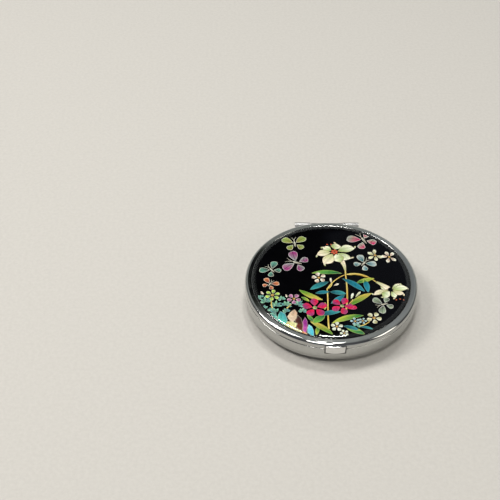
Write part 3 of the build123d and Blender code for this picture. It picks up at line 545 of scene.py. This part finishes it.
def make_inlay():
    """The whole picture, one piece for each CAD node."""
    pale_line, gold_line = linear(250, 247, 226), linear(240, 218, 130)
    ivory = (linear(168, 186, 116), linear(244, 242, 216))
    blush = (linear(196, 196, 140), linear(246, 230, 206))
    inlay("inlay_lily_petals", "shell_ivory", (ivory, ivory, blush),
          shell_finish("shell_ivory", 7, 0.28, linear(214, 176, 140), 0.35, 0.22), spread=0.06)
    inlay("inlay_lily_hearts", "shell_vermilion", ((linear(150, 30, 18), linear(236, 86, 52)),),
          shell_finish("shell_vermilion", 5, 0.25, linear(250, 170, 120), 0.35, 0.25))
    inlay("inlay_red_petals", "shell_crimson", ((linear(150, 60, 120), linear(222, 18, 72)),),
          shell_finish("shell_crimson", 11, 0.3, linear(248, 90, 130), 0.55, 0.25))
    inlay("inlay_red_hearts", "shell_gold", ((linear(90, 120, 60), linear(190, 200, 120)),),
          shell_finish("shell_lime_heart", 9, 0.3, pale_line, 0.4, 0.3))
    inlay("inlay_blossom_hearts", "shell_gold", ((linear(176, 110, 60), linear(214, 172, 96)),),
          shell_finish("shell_amber_heart", 9, 0.3, gold_line, 0.4, 0.3))
    cream = (linear(186, 140, 120), linear(244, 238, 220))
    white = (linear(200, 205, 170), linear(248, 248, 240))
    moss_white = (linear(170, 160, 90), linear(236, 232, 206))
    pale = (cream,) * 3 + (white,) * 3 + (moss_white,) * 2
    inlay("inlay_pale_blossoms", "shell_cream", pale,
          shell_finish("shell_cream", 7, 0.2, pale_line, 0.6, 0.35), seats="inlay_blossom_hearts")
    lime = (linear(90, 150, 50), linear(206, 226, 96))
    mauve = (linear(140, 70, 120), linear(214, 140, 184))
    sky = (linear(70, 130, 160), linear(160, 212, 222))
    inlay("inlay_bright_blossoms", "shell_bright", (lime, mauve, sky, sky),
          shell_finish("shell_bright", 7, 0.25, pale_line, 0.55, 0.35), seats="inlay_blossom_hearts")
    orange = (linear(150, 50, 50), linear(236, 140, 84))
    teal = (linear(70, 84, 84), linear(96, 160, 140))
    meadow = (linear(150, 140, 60), linear(150, 170, 90))
    lagoon = (linear(20, 110, 124), linear(186, 196, 198))
    inlay("inlay_bright_wings", "shell_wing", (orange, teal, meadow, lagoon),
          shell_finish("shell_wing", 13, 0.6, pale_line, 0.8, 0.4), seats="inlay_butterfly_bodies")
    smoke = (linear(150, 148, 150), linear(160, 50, 124))
    rose = (linear(214, 40, 108), linear(168, 166, 150))
    moss = (linear(96, 102, 84), linear(166, 178, 150))
    inlay("inlay_pearl_wings", "shell_pearl", (smoke, rose, moss),
          shell_finish("shell_pearl", 13, 0.65, linear(240, 240, 234), 0.85, 0.4),
          seats="inlay_butterfly_bodies")
    inlay("inlay_butterfly_bodies", "shell_silver", ((linear(120, 110, 96), linear(206, 200, 186)),),
          shell_finish("shell_silver", 5, 0.2, pale_line, 0.5, 0.3))
    inlay("inlay_teal_leaves", "shell_teal", ((linear(16, 90, 104), linear(52, 150, 156)),
                                               (linear(10, 104, 124), linear(30, 136, 158))),
          shell_finish("shell_teal", 10, 0.35, linear(130, 190, 170), 0.45, 0.25), wide_end_is_tip=False)
    inlay("inlay_green_leaves", "shell_green", ((linear(24, 124, 50), linear(188, 196, 70)),
                                                 (linear(20, 112, 60), linear(112, 176, 70)),
                                                 (linear(88, 150, 40), linear(214, 186, 84))),
          shell_finish("shell_green", 10, 0.35, linear(220, 226, 130), 0.5, 0.25), wide_end_is_tip=False)
    inlay("inlay_stems", "shell_gold", ((linear(206, 164, 62), linear(238, 212, 120)),),
          shell_finish("shell_gold", 4, 0.2, gold_line, 0.4, 0.2))
    rock_colours = (
        (linear(50, 130, 130), linear(130, 214, 196)), (linear(60, 160, 170), linear(120, 222, 196)),
        (linear(204, 196, 120), linear(236, 230, 170)), (linear(222, 180, 150), linear(244, 218, 190)),
        (linear(220, 206, 150), linear(240, 234, 190)), (linear(60, 26, 26), linear(128, 62, 50)),
        (linear(226, 110, 40), linear(240, 150, 80)), (linear(150, 36, 140), linear(206, 90, 176)),
        (linear(70, 190, 214), linear(150, 222, 232)),
    )
    inlay("inlay_rocks", "shell_rock", rock_colours,
          shell_finish("shell_rock", 6, 0.4, linear(244, 234, 206), 0.4, 0.35), wide_end_is_tip=False)
    inlay("inlay_foliage", "shell_foliage", ((linear(24, 84, 80), linear(120, 196, 168)),
                                              (linear(20, 76, 100), linear(84, 160, 160)),
                                              (linear(30, 110, 70), linear(150, 206, 170))),
          shell_finish("shell_foliage", 6, 0.3, linear(176, 220, 200), 0.5, 0.3))


# ------------------------------------------------------------------ powder, puff and ribbon

def powder_finish():
    """Pressed face powder: matt, very fine grain, slightly uneven."""
    f = Finish("pressed_powder", Roughness=0.9, Sheen_Weight=0.15, Sheen_Roughness=0.6,
               Specular_IOR_Level=0.2)
    cloud = f.noise(220, 4, 0.6)
    grain = f.noise(9000, 3, 0.7)
    tint = f.mix(f.span(cloud, 0, 1, 0.35, 0.65), linear(222, 178, 146), linear(230, 190, 160))
    tint = f.mix(f.span(grain, 0, 0.35, 0.55, 0.8), tint, linear(244, 216, 192))
    f.drive(Base_Color=tint)
    f.bump(f.maths("ADD", grain, f.maths("MULTIPLY", cloud, 0.8)), 0.00002)
    return f.material


def velour_finish():
    """Short dense pile."""
    f = Finish("puff_velour", Roughness=0.95, Sheen_Weight=0.6, Sheen_Roughness=0.45, Specular_IOR_Level=0.15)
    nap = f.noise(420, 4, 0.6, distortion=0.8)
    pile = f.noise(8200, 3, 0.75)
    tint = f.mix(f.span(nap, 0, 1, 0.3, 0.7), linear(236, 212, 200), linear(243, 223, 213))
    tint = f.mix(f.span(pile, 0, 0.3, 0.5, 0.75), tint, linear(205, 170, 156))
    f.drive(Base_Color=tint)
    f.bump(f.maths("ADD", pile, f.maths("MULTIPLY", nap, 0.7)), 0.00006)
    return f.material


def satin_finish():
    """Woven satin ribbon: fine cross ribs and lengthwise threads."""
    f = Finish("ribbon_satin", Roughness=0.34, Anisotropic=0.6, Sheen_Weight=0.25, Sheen_Roughness=0.35,
               Specular_IOR_Level=0.6)
    bands = {"wave_type": "BANDS", "wave_profile": "SIN"}
    ribs = f.node("ShaderNodeTexWave", {**bands, "bands_direction": "X"},
                  Vector=f.place(), Scale=1300.0, Distortion=0.4, Detail=1.0)
    threads = f.node("ShaderNodeTexWave", {**bands, "bands_direction": "Y"},
                     Vector=f.place(), Scale=1900.0, Distortion=0.6, Detail=1.0)
    cloud = f.noise(300, 3, 0.5)
    weave = f.maths("ADD", f.maths("MULTIPLY", ribs.outputs["Fac"], 0.7),
                    f.maths("MULTIPLY", threads.outputs["Fac"], 0.3))
    tint = f.mix(f.span(weave, 0, 1, 0.2, 0.8), linear(214, 178, 168), linear(238, 208, 198))
    tint = f.mix(f.span(cloud, 0, 0.25, 0.4, 0.7), tint, linear(246, 226, 218))
    f.drive(Base_Color=tint)
    f.bump(weave, 0.00002)
    return f.material


def turned_piece(name, outline, around, relief=None):
    """Solid of revolution from radius and height pairs that start and end on the axis."""
    vertices, faces = [(0, 0, outline[0][1])], []
    rings = outline[1:-1]
    for r, z in rings:
        for k in range(around):
            angle = 2 * math.pi * k / around
            drop = relief(r, angle, z) if relief else 0
            vertices.append((r * math.cos(angle), r * math.sin(angle), z - drop))
    vertices.append((0, 0, outline[-1][1]))
    last = len(vertices) - 1
    for k in range(around):
        nxt = (k + 1) % around
        faces.append((0, 1 + nxt, 1 + k))
        for j in range(len(rings) - 1):
            a, b = 1 + j * around, 1 + (j + 1) * around
            faces.append((a + k, a + nxt, b + nxt, b + k))
        faces.append((last, last - around + k, last - around + nxt))
    return new_piece(name, vertices, faces)


def make_powder():
    """Powder cake with a pressed ring and a shallow quilted pattern inside it."""
    low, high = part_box("pressed_powder")
    radius = high.x
    ring = radius - RING_INSET

    def relief(r, angle, z):
        if z < high.z - 0.1 * MM:
            return 0
        groove = RING_DEPTH * math.exp(-(((r - ring) / RING_WIDTH) ** 2))
        x, y = r * math.cos(angle), r * math.sin(angle)
        lines = min(abs(math.sin((x + y) * QUILT_WAVE)), abs(math.sin((x - y) * QUILT_WAVE)))
        inside = min(max((ring - QUILT_MARGIN - r) / QUILT_FADE, 0), 1)
        return groove + inside * QUILT_DEPTH * math.exp(-((lines / QUILT_LINE) ** 2))

    outline = [(0, low.z), (radius - 0.1 * MM, low.z), (radius, low.z + 0.1 * MM),
               (radius, high.z - 0.25 * MM), (radius - 0.12 * MM, high.z - 0.05 * MM)]
    outline += [(radius * i / CAKE_STEPS, high.z) for i in range(CAKE_STEPS - 1, 0, -1)] + [(0, high.z)]
    piece = turned_piece("powder_cake", outline, CAKE_AROUND, relief)
    finish_piece(piece, powder_finish(), "base", "pressed_powder", "pressed_powder")


def make_puff():
    """Round velour puff: filled by cloth pressure, drawn in by a seam half way up its side."""
    low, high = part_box("powder_puff")
    middle = (low + high) / 2
    radius, half = high.x, (high.z - low.z) / 2
    flat, shoulder = half * PUFF_FLAT, half * PUFF_SHOULDER
    outline = [(0, -flat), (radius * 0.5, -flat), (radius * 0.92, -shoulder), (radius * 0.965, 0),
               (radius * 0.92, shoulder), (radius * 0.5, flat), (0, flat)]
    puff = turned_piece("puff_pad", outline, PUFF_AROUND)
    puff.data.transform(Matrix.Scale(PUFF_SCALE, 4))
    apply_modifier(puff, "REMESH", mode="VOXEL", voxel_size=PUFF_VOXEL * PUFF_SCALE)
    rest = np.array([v.co[:] for v in puff.data.vertices])
    swell(puff, PUFF_FRAMES)
    cap_movement(puff, rest, PUFF_MOVE * PUFF_SCALE)
    puff.data.transform(Matrix.Scale(1 / PUFF_SCALE, 4))
    apply_modifier(puff, "SUBSURF", levels=1)
    points = np.array([v.co[:] for v in puff.data.vertices])
    out = np.hypot(points[:, 0], points[:, 1])
    # the seam, its gathers, and the pad's limits
    turn = np.arctan2(points[:, 1], points[:, 0])
    at_side = np.clip((out / radius - 0.8) / 0.15, 0, 1)
    seam = at_side * np.exp(-((points[:, 2] / SEAM_WIDTH) ** 2))
    gather = at_side * np.sin(turn * GATHERS) * GATHER_DEPTH * np.clip(1 - np.abs(points[:, 2]) / half, 0, 1)
    shrink = 1 - (seam * SEAM_DEPTH + gather) / np.maximum(out, MM)
    points[:, :2] *= shrink[:, None]
    out = np.hypot(points[:, 0], points[:, 1])
    points[:, :2] *= np.minimum(1, radius / np.maximum(out, 1e-6))[:, None]
    tall = max(points[:, 2].max(), -points[:, 2].min())
    points[:, 2] *= min(1, half / tall)
    points[:, 2] += middle.z
    puff.data.vertices.foreach_set("co", points.astype(np.float32).ravel())
    puff.data.update()
    puff.data.shade_smooth()
    finish_piece(puff, velour_finish(), "base", "puff_velour", "powder_puff")
    return puff


def apply_modifier(piece, kind, **settings):
    """Adds a modifier and applies it at once."""
    modifier = piece.modifiers.new(kind.lower(), kind)
    for key, value in settings.items():
        setattr(modifier, key, value)
    bake(piece)


def bake(piece):
    """Replaces a piece's mesh by what its modifiers make of it, and removes them."""
    seen = piece.evaluated_get(bpy.context.evaluated_depsgraph_get())
    mesh = bpy.data.meshes.new_from_object(seen)
    old = piece.data
    piece.modifiers.clear()
    piece.data = mesh
    bpy.data.meshes.remove(old)


def swell(piece, frames):
    """Fills a closed cloth by pressure."""
    cloth = piece.modifiers.new("cloth", "CLOTH")
    settings = cloth.settings
    settings.use_pressure = True
    settings.uniform_pressure_force = 4
    settings.quality = 5
    settings.mass = 0.3
    settings.tension_stiffness = settings.compression_stiffness = 15
    settings.bending_stiffness = 0.5
    settings.effector_weights.gravity = 0
    cloth.point_cache.frame_start, cloth.point_cache.frame_end = 1, frames
    scene = bpy.context.scene
    for frame_number in range(1, frames + 1):
        scene.frame_set(frame_number)
    bake(piece)
    scene.frame_set(1)


def cap_movement(piece, rest, most):
    """Keeps every point within a distance of where it was."""
    now = np.array([v.co[:] for v in piece.data.vertices])
    move = now - rest
    length = np.linalg.norm(move, axis=1, keepdims=True)
    now = rest + move * np.minimum(1, most / np.maximum(length, 1e-9))
    piece.data.vertices.foreach_set("co", now.astype(np.float32).ravel())
    piece.data.update()


def make_ribbon(puff):
    """Satin strap over the puff, sewn down at both ends and straight between them."""
    low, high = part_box("puff_ribbon")
    length, width = high.x - low.x, high.y - low.y
    thick, across, along = RIBBON_THICK, RIBBON_ACROSS, RIBBON_ALONG
    tree = BVHTree.FromObject(puff, bpy.context.evaluated_depsgraph_get())
    top = []
    for i in range(along + 1):
        x = low.x + length * i / along
        row = []
        for j in range(across + 1):
            y = low.y + width * j / across
            hit = tree.ray_cast(Vector((x, y, high.z + 1 * MM)), Vector((0, 0, -1)))[0]
            row.append((x, y, (hit.z if hit else low.z) + RIBBON_GAP + thick))
        top.append(row)
    strap = max(p[2] for row in top for p in row)
    loose = min(strap + RIBBON_RISE, high.z)
    for row in top:
        share = min(max((length / 2 - abs(row[0][0]) - SEWN_END) / SEWN_SLOPE, 0), 1)
        share = share * share * (3 - 2 * share)
        for j, (x, y, z) in enumerate(row):
            cup = RIBBON_CUP * (2 * j / across - 1) ** 2
            row[j] = (x, y, z + (max(loose - cup, z) - z) * share)
    vertices = [p for row in top for p in row]
    count = len(vertices)
    vertices += [(x, y, z - thick) for x, y, z in vertices]
    faces = []
    wide = across + 1
    for i in range(along):
        for j in range(across):
            a = i * wide + j
            faces.append((a, a + wide, a + wide + 1, a + 1))
            faces.append((count + a, count + a + 1, count + a + wide + 1, count + a + wide))
    edge = list(range(across)) + [across + i * wide for i in range(along)]
    edge += [along * wide + j for j in range(across, 0, -1)] + [i * wide for i in range(along, 0, -1)]
    for a, b in zip(edge, edge[1:] + edge[:1]):
        faces.append((a, b, count + b, count + a))
    ribbon = new_piece("puff_strap", vertices, faces)
    finish_piece(ribbon, satin_finish(), "base", "satin_ribbon", "puff_ribbon")
    add_stitches(top, width)


def add_stitches(top, width):
    """Two rows of short stitches at each end of the strap."""
    vertices, faces = [], []
    for row in (top[number] for number in STITCH_ROWS):
        x = row[0][0]
        for k in range(STITCHES):
            y = -width / 2 + width * (k + 0.8) / (STITCHES + 0.6)
            near = min(row, key=lambda p: abs(p[1] - y))
            add_bead(vertices, faces, (x, y, near[2]), STITCH_SIZE)
    stitches = new_piece("strap_stitches", vertices, faces)
    f = Finish("thread", Roughness=0.6, Sheen_Weight=0.3)
    twist = f.noise(9000, 2, 0.5)
    f.drive(Base_Color=f.mix(twist, linear(196, 150, 140), linear(228, 192, 182)))
    f.bump(twist, 0.00001)
    finish_piece(stitches, f.material, "base", "satin_ribbon")


def add_bead(vertices, faces, centre, size):
    """Adds an egg-shaped bead to lists of points and faces."""
    start, rows, columns = len(vertices), 5, 8
    vertices.append((centre[0], centre[1], centre[2] - size[2]))
    for i in range(1, rows):
        tilt = math.pi * i / rows
        for k in range(columns):
            turn = 2 * math.pi * k / columns
            vertices.append((centre[0] + size[0] * math.sin(tilt) * math.cos(turn),
                             centre[1] + size[1] * math.sin(tilt) * math.sin(turn),
                             centre[2] - size[2] * math.cos(tilt)))
    vertices.append((centre[0], centre[1], centre[2] + size[2]))
    last = len(vertices) - 1
    for k in range(columns):
        nxt = (k + 1) % columns
        faces.append((start, start + 1 + nxt, start + 1 + k))
        for i in range(rows - 2):
            a = start + 1 + i * columns
            faces.append((a + k, a + nxt, a + columns + nxt, a + columns + k))
        faces.append((last, last - columns + k, last - columns + nxt))


# ------------------------------------------------------------------ stage

def make_stage():
    """Pale floor, the room and soft lights. The floor glows more with distance, where no light reaches it."""
    bpy.ops.mesh.primitive_plane_add(size=FLOOR_SIZE)
    floor = bpy.context.object
    floor.name = "floor"
    f = Finish("floor_paper", Roughness=0.75, Emission_Color=(0.44, 0.43, 0.41, 1))
    grain = f.noise(700, 4, 0.6)
    away = f.node("ShaderNodeVectorMath", {"operation": "LENGTH"}, _0=f.place()).outputs["Value"]
    f.drive(Base_Color=f.mix(f.span(grain, 0, 1, 0.35, 0.65), linear(196, 193, 187), linear(202, 199, 193)),
            Emission_Strength=f.span(away, 0, 1, FLOOR_GLOW_NEAR, FLOOR_GLOW_FAR))
    f.bump(grain, 0.00008)
    floor.data.materials.append(f.material)

    make_world()
    middle = Vector((0, 0, 0.008))
    for name, at, size, power, colour in LIGHTS:
        light = bpy.data.lights.new(name, "AREA")
        light.shape = "RECTANGLE"
        light.size, light.size_y = size
        light.energy = power
        light.color = colour
        lamp = bpy.data.objects.new(name, light)
        lamp.location = at
        lamp.rotation_euler = (middle - Vector(at)).to_track_quat("-Z", "Y").to_euler()
        bpy.context.scene.collection.objects.link(lamp)


def make_world():
    """A dim room, lighter near the ground and behind and in front of the compact, with two dark gaps in
    the light behind. The polished steel mirrors it."""
    world = bpy.data.worlds.new("studio")
    bpy.context.scene.world = world
    world.use_nodes = True
    tree = world.node_tree
    tree.nodes.clear()
    place = tree.nodes.new("ShaderNodeTexCoord")
    total = None
    for way, colour, start, stop, sign in ROOM:
        facing = tree.nodes.new("ShaderNodeVectorMath")
        facing.operation = "DOT_PRODUCT"
        facing.inputs[1].default_value = Vector(way).normalized()
        tree.links.new(place.outputs["Generated"], facing.inputs[0])
        share = tree.nodes.new("ShaderNodeMapRange")
        share.interpolation_type = "SMOOTHSTEP"
        share.inputs["From Min"].default_value, share.inputs["From Max"].default_value = start, stop
        tree.links.new(facing.outputs["Value"], share.inputs["Value"])
        glow = tree.nodes.new("ShaderNodeVectorMath")
        glow.operation = "SCALE"
        glow.inputs[0].default_value = colour
        tree.links.new(share.outputs["Result"], glow.inputs["Scale"])
        if total is None:
            total = glow.outputs[0]
            continue
        add = tree.nodes.new("ShaderNodeVectorMath")
        add.operation = "ADD" if sign > 0 else "SUBTRACT"
        tree.links.new(total, add.inputs[0])
        tree.links.new(glow.outputs[0], add.inputs[1])
        total = add.outputs[0]
    least = tree.nodes.new("ShaderNodeVectorMath")
    least.operation = "MAXIMUM"
    least.inputs[1].default_value = ROOM_LEAST
    tree.links.new(total, least.inputs[0])
    sky = tree.nodes.new("ShaderNodeBackground")
    out = tree.nodes.new("ShaderNodeOutputWorld")
    tree.links.new(least.outputs[0], sky.inputs[0])
    tree.links.new(sky.outputs[0], out.inputs[0])


def make_camera():
    """Camera at the viewing angle of the reference."""
    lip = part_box("lid_shell")[1].z
    azimuth, elevation = math.radians(CAMERA_AZIMUTH), math.radians(CAMERA_ELEVATION)
    flat = CAMERA_DISTANCE * math.cos(elevation)
    camera = bpy.data.objects.new("camera", bpy.data.cameras.new("camera"))
    camera.data.lens = CAMERA_LENS
    rise = CAMERA_DISTANCE * math.sin(elevation)
    camera.location = (flat * math.sin(azimuth), -flat * math.cos(azimuth), lip + rise)
    camera.rotation_euler = (math.radians(90 + CAMERA_PITCH), 0, math.radians(CAMERA_YAW))
    camera.data.clip_start, camera.data.clip_end = 0.01, 20
    bpy.context.scene.collection.objects.link(camera)
    bpy.context.scene.camera = camera


def make_spring(material):
    """Latch spring: a copy of the CAD spring with its own material, shown in place of the CAD node."""
    coil = bpy.data.objects.new("return_coil", NODES["latch_spring"].data.copy())
    bpy.context.scene.collection.objects.link(coil)
    coil.data.materials.clear()
    coil.data.materials.append(material)
    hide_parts("latch_spring")
    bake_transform(coil)


# ------------------------------------------------------------------ all

def paint_cad():
    """Materials of the CAD nodes that show as they are."""
    steel = polished_metal("polished_steel", (0.5, 0.505, 0.49))
    # the button's steel is painted lighter than the body's steel: a painted highlight on the button
    button = polished_metal("button_steel_painted_highlight", (0.76, 0.76, 0.75), (0.03, 0.1))
    # the hinge is the body's steel painted darker: painted shade on the hinge
    hinge = polished_metal("hinge_steel", (0.38, 0.38, 0.375), (0.34, 0.44), 0.8)
    tray = satin_metal("satin_tray", (0.7, 0.7, 0.69), 0.26)
    pan = satin_metal("pan_aluminium", (0.8, 0.8, 0.8), 0.3)
    latch = satin_metal("latch_steel", (0.6, 0.6, 0.6), 0.32, around=False)
    make_spring(polished_metal("spring_steel", (0.5, 0.5, 0.5), (0.2, 0.3)))
    glue = plain_adhesive()
    for material, nodes in (
        (steel, ("base_shell", "lid_shell")),
        (button, ("push_button",)),
        (hinge, ("base_hinge_leaf", "lid_hinge_leaf", "hinge_pin")),
        (tray, ("inner_tray", "mirror_bezel")),
        (pan, ("powder_pan",)),
        (latch, ("latch_guide", "latch_cover", "latch_slider", "latch_hook")),
        (glue, ("pan_adhesive", "mirror_adhesive")),
        (mirror_finish(), ("mirror_glass",)),
        (black_lacquer(), ("lacquer_panel",)),
        (clear_resin(), ("clear_cover",)),
    ):
        for node in nodes:
            paint(node, material)


bpy.context.scene.view_settings.view_transform = "Standard"
make_camera()
make_stage()
paint_cad()
make_inlay()
make_powder()
make_ribbon(make_puff())
